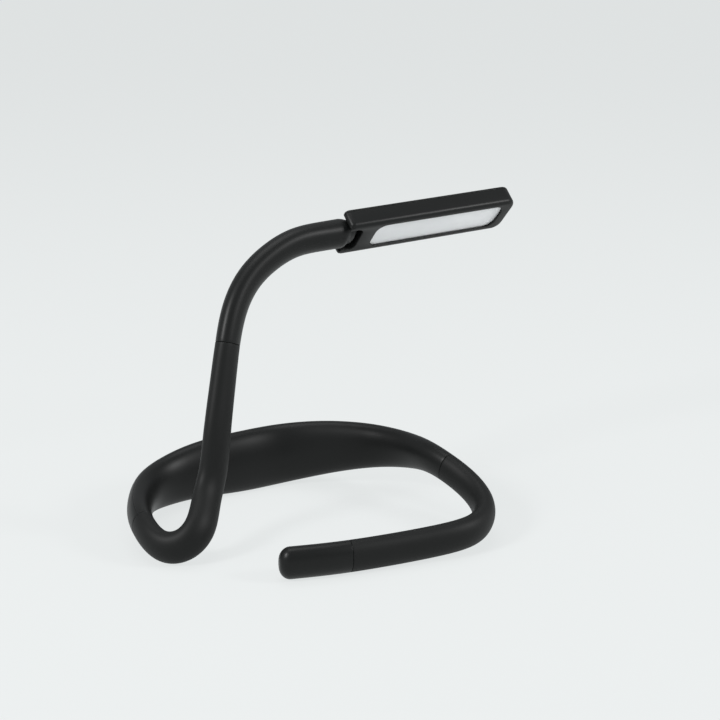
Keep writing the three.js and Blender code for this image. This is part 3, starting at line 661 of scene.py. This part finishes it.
def arm_size(along):
    share = min(max(along / arm_length, 0), 1)
    full = NECK_HALF_WIDTH + (ARM_END_HALF_THICKNESS - NECK_HALF_WIDTH) * share
    half = NECK_HALF_HEIGHT + (ARM_END_HALF_WIDTH - NECK_HALF_HEIGHT) * share
    past = along - arm_length
    if past >= 0:
        into_corner = max(0, past - KNUCKLE_RADIUS + KNUCKLE_CORNER) / KNUCKLE_CORNER
        corner_loss = KNUCKLE_CORNER * (1 - math.sqrt(1 - into_corner ** 2))
        return half - corner_loss, math.sqrt(KNUCKLE_RADIUS ** 2 - past ** 2)
    blend = smooth_share(-past / KNUCKLE_BLEND)
    return half, KNUCKLE_RADIUS + (full - KNUCKLE_RADIUS) * blend


def arm_stations():
    start = SEAM_GAP
    alongs = lip_steps(start, 1)
    alongs += steps(start + EDGE, arm_length - COVER_END_INSET, ARM_STEP)
    alongs += steps(arm_length - COVER_END_INSET, arm_length, ARM_END_STEP)[1:]
    for i in range(1, KNUCKLE_STEPS + 1):
        alongs.append(arm_length + KNUCKLE_RADIUS * math.sin(KNUCKLE_SWEEP * i / KNUCKLE_STEPS))
    stations = []
    for along in alongs:
        half_height, half_width = arm_size(along)
        inset = lip(along, start)
        stations.append((arm_seam + along, half_height - inset, half_width - inset))
    return stations


def close_far_end(bm, distance):
    """Fills the ring that lies furthest along the line."""
    end = place(distance)[0]
    near = [edge for edge in bm.edges if edge.is_boundary
            and all((vert.co - end).length < NECK_HALF_HEIGHT for vert in edge.verts)]
    bmesh.ops.holes_fill(bm, edges=near, sides=0)


def in_cover(distance, angle):
    reaches = distance < route_end - COVER_END_INSET
    return reaches and COVER_EDGE_ANGLE < angle < 180 - COVER_EDGE_ANGLE


print("arm:", round(arm_length / MM), "mm")

# %% The buttons' places
BUTTON_RADIUS = 1.7 * MM
BUTTON_STAND = 0.22 * MM
BUTTON_CROWN = 0.35 * MM
BUTTON_RIM = 0.25 * MM
BUTTON_GAP = 0.18 * MM
BUTTON_PLACES = {"lower": 6.5 * MM, "upper": 10.9 * MM}
FLANGE = 0.3 * MM
FLANGE_THICKNESS = 0.5 * MM
HOLE_BOTTOM = 2 * MM
HOLE_TOP = 9 * MM
FIT_GAP = 0.3 * MM


def button_matrix(along):
    """z runs out of the shell, on the outside of the arm's bend."""
    point, forward, up, across = place(arm_seam + along)
    return frame_matrix(point, forward, -up, -across)


def flange_level(along):
    half_width, half_thickness = arm_size(along)
    share = (BUTTON_RADIUS + FLANGE) / (half_width - ARM_WALL)
    return (half_thickness - ARM_WALL) * math.sqrt(1 - share ** 2) - FIT_GAP


# %% Arm shell and cover
def arm_skin():
    shell = sweep(arm_stations())
    close_far_end(shell, route_end + KNUCKLE_RADIUS)
    keep_faces(shell, lambda distance, angle: not in_cover(distance, angle))
    thicken(shell, ARM_WALL)
    soften(shell, COVER_EDGE)
    hinge_point, forward, up, across = place(route_end)
    cutters = [rod(BORE_RADIUS, -BORE_REACH, BORE_REACH, frame_matrix(hinge_point, across, forward, up))]
    for along in BUTTON_PLACES.values():
        cutters.append(rod(BUTTON_RADIUS + BUTTON_GAP, HOLE_BOTTOM, HOLE_TOP, button_matrix(along)))
    return cut(shell, *cutters)


def cover_skin():
    cover = sweep(arm_stations())
    keep_faces(cover, in_cover)
    thicken(cover, ARM_WALL)
    soften(cover, COVER_EDGE)
    return cover


ARM_BODY = f"left_neck_link_{LEFT_LINKS}"
keep(arm_skin(), "arm_skin", satin, ["arm_shell"], ARM_BODY)
keep(cover_skin(), "arm_cover_skin", satin, ["arm_cover"], ARM_BODY)

# %% [markdown]
# ## The buttons
# Each button is a small turned cap. Its crown is domed and its rim is rounded, and a flange under the shell
# keeps it in. A half profile is spun round the button's axis.

# %% The buttons
RIM_STEPS = 5
CROWN_STEPS = 6
TOLERANCE = 0.001 * MM


def turned(profile, matrix):
    """Spins a half profile of radius and height round z."""
    bm = bmesh.new()
    verts = [bm.verts.new((radius, 0, height)) for radius, height in profile]
    edges = [bm.edges.new(pair) for pair in zip(verts, verts[1:])]
    bmesh.ops.spin(bm, geom=verts + edges, axis=(0, 0, 1), cent=(0, 0, 0), angle=2 * math.pi,
                   steps=ROUND_SIDES, use_merge=True)
    bmesh.ops.remove_doubles(bm, verts=bm.verts, dist=TOLERANCE)
    bmesh.ops.transform(bm, matrix=matrix, verts=bm.verts)
    bmesh.ops.recalc_face_normals(bm, faces=bm.faces)
    return bm


def button_profile(along):
    top = arm_size(along)[1] + BUTTON_STAND
    flange_top = flange_level(along)
    flange_bottom = flange_top - FLANGE_THICKNESS
    rim_centre = BUTTON_RADIUS - BUTTON_RIM
    rim_top = top - BUTTON_CROWN
    profile = [(0, flange_bottom), (BUTTON_RADIUS + FLANGE, flange_bottom),
               (BUTTON_RADIUS + FLANGE, flange_top), (BUTTON_RADIUS, flange_top)]
    for i in range(RIM_STEPS + 1):
        angle = math.pi / 2 * i / RIM_STEPS
        profile.append((rim_centre + BUTTON_RIM * math.cos(angle),
                        rim_top - BUTTON_RIM * (1 - math.sin(angle))))
    for i in range(1, CROWN_STEPS + 1):
        radius = rim_centre * (1 - i / CROWN_STEPS)
        profile.append((radius, top - BUTTON_CROWN * (radius / rim_centre) ** 2))
    return profile


for name, along in BUTTON_PLACES.items():
    cap = turned(button_profile(along), button_matrix(along))
    keep(cap, f"{name}_button_cap", button_finish, [f"{name}_button"], f"{name}_button")

# %% [markdown]
# ## The head
# The head is a flat box with a fork at one end. Its outline starts as a few corners in a plane, and
# bevelling those vertices rounds each corner by its own radius. Extruding the face makes a plate, and
# bevelling its rims gives the soft edges. A frame carries the front, with a well rounded rim, and a thin
# cover closes the back along a fine parting line.

# %% Plates
CORNER_STEPS = 10
PLATE_RIM_STEPS = 5
RIM_ANGLE = math.radians(40)


def round_rim(bm, level, width, segments, wanted=lambda edge: True):
    """Rounds the edges that lie at a level."""
    rim = [edge for edge in bm.edges if edge.calc_face_angle(0) > RIM_ANGLE and wanted(edge)
           and all(abs(vert.co.z - level) < TOLERANCE for vert in edge.verts)]
    bmesh.ops.bevel(bm, geom=rim, offset=width, offset_type="OFFSET", affect="EDGES",
                    segments=segments, profile=0.5, material=-1)


def plate(points, corners, low, high, round_low=0.0, round_high=0.0):
    """A plate between two heights. Its outline's corners and its two rims are rounded."""
    bm = bmesh.new()
    verts = [bm.verts.new((x, y, low)) for x, y in points]
    bm.faces.new(verts)
    for radius in sorted(set(corners)):
        chosen = [vert for vert, corner in zip(verts, corners) if corner == radius]
        bmesh.ops.bevel(bm, geom=chosen, offset=radius, offset_type="OFFSET", affect="VERTICES",
                        segments=CORNER_STEPS, profile=0.5, material=-1)
    made = bmesh.ops.extrude_face_region(bm, geom=bm.faces[:])["geom"]
    moved = [part for part in made if isinstance(part, bmesh.types.BMVert)]
    bmesh.ops.translate(bm, vec=(0, 0, high - low), verts=moved)
    bmesh.ops.recalc_face_normals(bm, faces=bm.faces)
    for level, width in ((low, round_low), (high, round_high)):
        if width:
            round_rim(bm, level, width, PLATE_RIM_STEPS)
    return bm


def box_points(from_x, to_x, half):
    return [(from_x, -half), (to_x, -half), (to_x, half), (from_x, half)]


# %% Head sizes
HEAD_LENGTH = 84.3 * MM
HEAD_HALF_WIDTH = 10.65 * MM
HEAD_THICKNESS = 8.8 * MM
HEAD_EDGE = 0.9 * MM
HEAD_TIP_CORNER = 5 * MM
FRONT_EDGE = 2 * MM
NOTCH_EDGE = 0.35 * MM
FORK_CORNER = 2.1 * MM
FORK_INNER_CORNER = 1.1 * MM
HEAD_WALL = 1.4 * MM
HEAD_LIP = 0.8 * MM
BACK_COVER = 1.2 * MM
HINGE_INSET = 2.6 * MM
WINDOW_START = 14 * MM
WINDOW_LENGTH = 64.6 * MM
WINDOW_HALF_WIDTH = 7.5 * MM
WINDOW_CORNER = 4.5 * MM
WINDOW_EDGE = 0.35 * MM
DIFFUSER_OVERLAP = 1 * MM
DIFFUSER_THICKNESS = 1 * MM
PIN_HOLE_RADIUS = 1.08 * MM
PIN_INSET = 1 * MM
FRONT_STEPS = 7
NOTCH_STEPS = 3
WINDOW_STEPS = 4
NEAR = 0.5 * MM
CLOSE = 0.1 * MM
PAST_NOTCH = 1 * MM
HEAD_SMOOTH_UNDER = 30

fork_x = -HINGE_INSET
tip_x = HEAD_LENGTH - HINGE_INSET
front_z = HEAD_THICKNESS / 2
notch_x = KNUCKLE_RADIUS + FIT_GAP
notch_half = ARM_END_HALF_WIDTH + FIT_GAP
cover_z = BACK_COVER - front_z
window_x = WINDOW_START - HINGE_INSET
window_end = window_x + WINDOW_LENGTH
HEAD_MATRIX = frame_matrix(*place(route_end))
print("head:", [round(x / MM, 1) for x in (HEAD_LENGTH, 2 * HEAD_HALF_WIDTH, HEAD_THICKNESS)], "mm")

# %% The head's frame and back
HEAD_POINTS = [(fork_x, -HEAD_HALF_WIDTH), (tip_x, -HEAD_HALF_WIDTH), (tip_x, HEAD_HALF_WIDTH),
               (fork_x, HEAD_HALF_WIDTH), (fork_x, notch_half), (notch_x, notch_half),
               (notch_x, -notch_half), (fork_x, -notch_half)]
HEAD_CORNERS = [FORK_CORNER, HEAD_TIP_CORNER, HEAD_TIP_CORNER, FORK_CORNER,
                FORK_INNER_CORNER, KNUCKLE_CORNER, KNUCKLE_CORNER, FORK_INNER_CORNER]


def middle_of(edge):
    return (edge.verts[0].co + edge.verts[1].co) / 2


def in_window(edge):
    x, y, z = middle_of(edge)
    return window_x - NEAR < x < window_end + NEAR and abs(y) < WINDOW_HALF_WIDTH + NEAR


def on_outline(edge):
    x, y, z = middle_of(edge)
    return abs(y) > HEAD_HALF_WIDTH - FORK_CORNER + EDGE or x > notch_x + PAST_NOTCH


def on_notch(edge):
    x, y, z = middle_of(edge)
    return x < notch_x + CLOSE and abs(y) < notch_half + CLOSE


def head_frame():
    block = plate(HEAD_POINTS, HEAD_CORNERS, cover_z + SEAM_GAP, front_z, EDGE / 2)
    round_rim(block, front_z, FRONT_EDGE, FRONT_STEPS, on_outline)
    round_rim(block, front_z, NOTCH_EDGE, NOTCH_STEPS,
              lambda edge: on_notch(edge) and not on_outline(edge))
    inner_corner = HEAD_TIP_CORNER - HEAD_WALL
    cavity = plate(box_points(notch_x + HEAD_WALL, tip_x - HEAD_WALL, HEAD_HALF_WIDTH - HEAD_WALL),
                   [KNUCKLE_CORNER, inner_corner, inner_corner, KNUCKLE_CORNER],
                   2 * cover_z, front_z - HEAD_LIP)
    window = plate(box_points(window_x, window_end, WINDOW_HALF_WIDTH), [WINDOW_CORNER] * 4,
                   0, 2 * front_z)
    pin = rod(PIN_HOLE_RADIUS, PIN_INSET - HEAD_HALF_WIDTH, HEAD_HALF_WIDTH - PIN_INSET,
              Matrix.Rotation(math.pi / 2, 4, "X"))
    bm = cut(block, cavity, window, pin)
    round_rim(bm, front_z, WINDOW_EDGE, WINDOW_STEPS, in_window)
    bmesh.ops.transform(bm, matrix=HEAD_MATRIX, verts=bm.verts)
    return bm


def head_back():
    """The back cover. A narrow border inside each wide face keeps that face flat in the light."""
    bm = plate(HEAD_POINTS, HEAD_CORNERS, -front_z, cover_z, HEAD_EDGE, EDGE / 2)
    wide = [face for face in bm.faces if face.calc_area() > HEAD_LENGTH * HEAD_HALF_WIDTH]
    bmesh.ops.inset_individual(bm, faces=wide, thickness=EDGE / 2, use_even_offset=True)
    bmesh.ops.transform(bm, matrix=HEAD_MATRIX, verts=bm.verts)
    return bm


keep(head_frame(), "head_frame_skin", satin, ["head_frame"], "head", HEAD_SMOOTH_UNDER)
keep(head_back(), "head_back_skin", satin, ["head_back_cover"], "head", HEAD_SMOOTH_UNDER)

# %% The diffuser
diffuser_top = front_z - HEAD_LIP - FIT_GAP
diffuser_points = box_points(window_x - DIFFUSER_OVERLAP, window_end + DIFFUSER_OVERLAP,
                             WINDOW_HALF_WIDTH + DIFFUSER_OVERLAP)
diffuser = plate(diffuser_points, [WINDOW_CORNER + DIFFUSER_OVERLAP] * 4,
                 diffuser_top - DIFFUSER_THICKNESS, diffuser_top, EDGE, EDGE)
bmesh.ops.transform(diffuser, matrix=HEAD_MATRIX, verts=diffuser.verts)
keep(diffuser, "diffuser_plate", diffuser_finish, ["diffuser"], "head")

# %% [markdown]
# ## Pieces inside
# What lies inside keeps the shape of its solid and gets a finish of its own: brushed metal for the gooseneck
# cores and the pin, crinkled foil for the cells, green boards, clear plastic for the light guide.

# %% Finishes inside
METAL_GRAIN_STRENGTH = 0.5
METAL_GLOSS_SHARE = 0.2
COPPER_PER_METRE = 700
COPPER_EDGE_STOPS = [(0.06, 0), (0.1, 1)]
COPPER_STRENGTH = 0.4
COPPER_HEIGHT = 0.03 * MM
COPPER_ROUGHNESS = 0.5
MASK_GLOSS_SHARE = 0.12
HAZE_PER_METRE = 900
HAZE_SHARE = 0.04
CLEAR_TINT = (0.9, 0.93, 0.94, 1)
CLEAR_SHARE = 0.9
ACRYLIC_IOR = 1.49


def metal(name, colour, roughness, grain_size, grain_height):
    """Drawn or crinkled metal: its gloss and its surface change with one noise."""
    material, shader, start = new_material(name)
    spot = start.node("ShaderNodeTexCoord", out="Object")
    grain = start.node("ShaderNodeTexNoise", {"Vector": spot, "Scale": 1 / grain_size, "Detail": 4})
    bump = start.node("ShaderNodeBump",
                      {"Height": grain, "Strength": METAL_GRAIN_STRENGTH, "Distance": grain_height})
    tone = start.node("ShaderNodeMix", {"Factor": grain, "A": dark(colour), "B": light(colour)},
                      out=2, data_type="RGBA")
    link(tone, shader, "Base Color")
    link(roughness + (grain - 0.5) * METAL_GLOSS_SHARE, shader, "Roughness")
    link(bump, shader, "Normal")
    shader.inputs["Metallic"].default_value = 1
    return material


def circuit_board(name, mask, copper):
    """A solder mask over copper areas, whose edges stand a little proud."""
    material, shader, start = new_material(name)
    spot = start.node("ShaderNodeTexCoord", out="Object")
    areas = start.node("ShaderNodeTexVoronoi", {"Vector": spot, "Scale": COPPER_PER_METRE},
                       feature="DISTANCE_TO_EDGE")
    share = start.node("ShaderNodeValToRGB", {"Fac": areas}, stops=COPPER_EDGE_STOPS)
    tone = start.node("ShaderNodeMix", {"Factor": share, "A": copper, "B": mask}, out=2, data_type="RGBA")
    bump = start.node("ShaderNodeBump", {"Height": share, "Strength": COPPER_STRENGTH,
                                         "Distance": COPPER_HEIGHT})
    link(tone, shader, "Base Color")
    link(COPPER_ROUGHNESS - share * MASK_GLOSS_SHARE, shader, "Roughness")
    link(bump, shader, "Normal")
    return material


def clear(name, roughness):
    """Clear plastic with a faint haze."""
    material, shader, start = new_material(name)
    spot = start.node("ShaderNodeTexCoord", out="Object")
    grain = start.node("ShaderNodeTexNoise", {"Vector": spot, "Scale": HAZE_PER_METRE, "Detail": 2})
    link(roughness + (grain - 0.5) * HAZE_SHARE, shader, "Roughness")
    shader.inputs["Base Color"].default_value = CLEAR_TINT
    shader.inputs["Transmission Weight"].default_value = CLEAR_SHARE
    shader.inputs["IOR"].default_value = ACRYLIC_IOR
    return material


core_metal = metal("core_metal", (0.47, 0.49, 0.5), roughness=0.38, grain_size=0.4 * MM,
                   grain_height=0.02 * MM)
cell_foil = metal("cell_foil", (0.55, 0.56, 0.58), roughness=0.32, grain_size=1.6 * MM,
                  grain_height=0.12 * MM)
plated_steel = metal("plated_steel", (0.5, 0.51, 0.52), roughness=0.28, grain_size=0.3 * MM,
                     grain_height=0.005 * MM)
board = circuit_board("circuit_board", mask=(0.012, 0.1, 0.045, 1), copper=(0.03, 0.17, 0.08, 1))
clear_plastic = clear("clear_plastic", roughness=0.12)
reflector = moulded("reflector_sheet", (0.8, 0.8, 0.8), roughness=0.35, grain_size=0.5 * MM,
                    grain_height=0.01 * MM)

# %% Dressing the pieces inside
INSIDE_FINISHES = {
    "core": core_metal, "cell": cell_foil, "pin": plated_steel, "socket": plated_steel, "board": board,
    "guide": clear_plastic, "pipe": clear_plastic, "reflector": reflector, "bush": silicone,
    "anchor": inner_plastic, "collar": inner_plastic, "switch": inner_plastic,
}
for name, node in frame["nodes"].items():
    words = [word for word in INSIDE_FINISHES if word in name.split("_")]
    for slot in node.material_slots if words else []:
        slot.material = INSIDE_FINISHES[words[0]]
print("finishes:", len(bpy.data.materials))

# %% [markdown]
# ## Stage, light and camera
# The lamp stands on a pale seamless floor in soft light. A plain pale floor is darkest where the lights
# don't reach, and the photograph's is even. So the camera and the reflections see a floor that mostly glows.
# The rest of its brightness comes from the lights, which keeps a soft shadow.

# %% The floor
FLOOR_SIZE = 30
FLOOR_ROUGHNESS = 0.9
UNLIT = (0, 0, 0, 1)
GLOW = (0.69, 0.712, 0.711, 1)
SHOWN = (0.11, 0.112, 0.112, 1)
BOUNCED = (0.72, 0.73, 0.73, 1)
floor_paint, floor_shader, floor_start = new_material("pale_floor")
floor_shader.inputs["Roughness"].default_value = FLOOR_ROUGHNESS
floor_shader.inputs["Specular IOR Level"].default_value = 0
floor_shader.inputs["Emission Strength"].default_value = 1
seen = floor_start.node("ShaderNodeLightPath", out="Is Camera Ray")
mirrored = floor_start.node("ShaderNodeLightPath", out="Is Glossy Ray")
through = floor_start.node("ShaderNodeLightPath", out="Is Transmission Ray")
looked_at = seen + mirrored + through
for in_bounces, in_view, socket in ((BOUNCED, SHOWN, "Base Color"), (UNLIT, GLOW, "Emission Color")):
    tint = floor_start.node("ShaderNodeMix", {"Factor": looked_at, "A": in_bounces, "B": in_view},
                            out=2, data_type="RGBA")
    link(tint, floor_shader, socket)
floor_mesh = bmesh.new()
bmesh.ops.create_grid(floor_mesh, x_segments=1, y_segments=1, size=FLOOR_SIZE / 2)
to_object(floor_mesh, "floor", floor_paint)
print("floor:", FLOOR_SIZE, "m")

# %% Light
ROOM_TINT = (0.95, 0.975, 1.0, 1)
ROOM_STRENGTH = 0.45
world = bpy.data.worlds.new("soft_room")
world.use_nodes = True
world.node_tree.nodes["Background"].inputs["Color"].default_value = ROOM_TINT
world.node_tree.nodes["Background"].inputs["Strength"].default_value = ROOM_STRENGTH
bpy.context.scene.world = world


def soft_light(name, location, target, size, power):
    """A round softbox that looks at its target."""
    data = bpy.data.lights.new(name, "AREA")
    data.shape = "DISK"
    data.size = size
    data.energy = power
    lamp = bpy.data.objects.new(name, data)
    lamp.location = location
    lamp.rotation_euler = (Vector(target) - Vector(location)).to_track_quat("-Z", "Y").to_euler()
    bpy.context.scene.collection.objects.link(lamp)


soft_light("left_softbox", (-0.85, -0.7, 0.75), target=(0, 0, 0.05), size=0.3, power=12)
soft_light("right_softbox", (1.0, -0.3, 0.6), target=(0, 0, 0.05), size=0.3, power=7)
soft_light("top_softbox", (-0.1, 0.1, 1.3), target=(0, 0, 0), size=0.9, power=5)
print("lights:", len(bpy.data.lights))

# %% Camera
CAMERA_ELEVATION = math.radians(16)
CAMERA_DISTANCE = 649.3 * MM
AIM_HEIGHT = 59.5 * MM
LENS = 74
SENSOR = 36

aim = shift + Vector((0, 0, AIM_HEIGHT))
towards = Vector((0, -math.cos(CAMERA_ELEVATION), math.sin(CAMERA_ELEVATION)))
camera_data = bpy.data.cameras.new("camera")
camera_data.lens = LENS
camera_data.sensor_width = SENSOR
camera = bpy.data.objects.new("camera", camera_data)
camera.location = aim + towards * CAMERA_DISTANCE
camera.rotation_euler = (math.pi / 2 - CAMERA_ELEVATION, 0, 0)
bpy.context.scene.collection.objects.link(camera)
bpy.context.scene.camera = camera
bpy.context.scene.view_settings.view_transform = "Standard"
print("camera:", LENS, "mm lens at", round(CAMERA_DISTANCE / MM), "mm")
